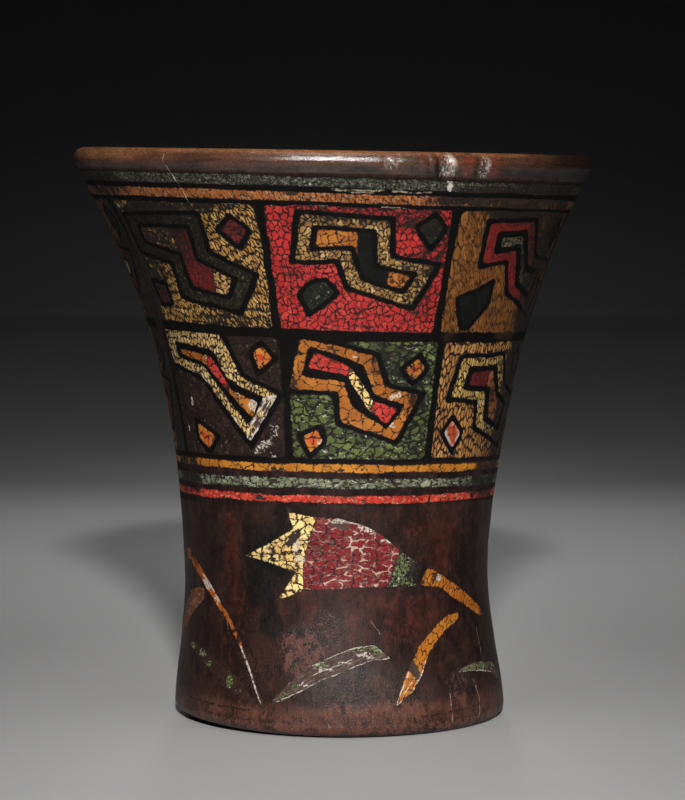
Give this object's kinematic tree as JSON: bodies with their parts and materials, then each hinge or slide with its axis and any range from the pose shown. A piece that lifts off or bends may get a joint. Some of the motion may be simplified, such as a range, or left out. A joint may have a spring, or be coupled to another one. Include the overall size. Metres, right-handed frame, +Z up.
{
  "type": "inlaid wooden cup",
  "caption": "Tall flared drinking cup carved from wood, with a narrow waist, a wide foot, a hollow with a round corner, and coloured resin inlays set into its outer wall.",
  "frame": {"origin": "middle of the flat base, where the cup stands", "axes": "+Z up along the cup's axis; -Y is the front, the side with the whole flower; +X is to the right seen from the front"},
  "size_m": [0.1702, 0.1702, 0.1881],
  "materials": {
    "wood": "dark oiled wood, worn smooth",
    "yellow": "satin resin inlay, crazed and worn",
    "red": "satin resin inlay, crazed and worn",
    "ochre": "satin resin inlay, crazed and worn",
    "green": "satin resin inlay, crazed and worn",
    "dark": "satin resin inlay, crazed and worn",
    "purple": "satin resin inlay, crazed and worn"
  },
  "bodies": {
    "root": {"wooden_cup": "wood", "upper_green_band": "green", "upper_ochre_band": "ochre", "lower_ochre_band": "ochre", "lower_green_band": "green", "lower_red_band": "red", "upper_field_1": "yellow", "upper_field_2": "red", "upper_field_3": "ochre", "upper_field_4": "purple", "upper_field_5": "yellow", "upper_field_6": "red", "upper_field_7": "ochre", "upper_zigzag_1": "dark", "upper_zigzag_2": "yellow", "upper_zigzag_3": "red", "upper_zigzag_4": "yellow", "upper_zigzag_5": "dark", "upper_zigzag_6": "yellow", "upper_zigzag_7": "red", "lower_field_1": "purple", "lower_field_2": "green", "lower_field_3": "yellow", "lower_field_4": "red", "lower_field_5": "purple", "lower_field_6": "green", "lower_field_7": "yellow", "lower_zigzag_1": "yellow", "lower_zigzag_2": "ochre", "lower_zigzag_3": "yellow", "lower_zigzag_4": "yellow", "lower_zigzag_5": "ochre", "lower_zigzag_6": "yellow", "lower_zigzag_7": "red", "yellow_cores": "yellow", "red_cores": "red", "ochre_cores": "ochre", "dark_cores": "dark", "green_cores": "green", "red_diamonds": "red", "ochre_diamonds": "ochre", "dark_diamonds": "dark", "flower_petals": "yellow", "flower_bells": "red", "flower_calyxes": "green", "flower_stems": "ochre", "ochre_leaves": "ochre", "green_leaves_left": "green", "green_leaves_right": "green"}
  },
  "joints": []
}
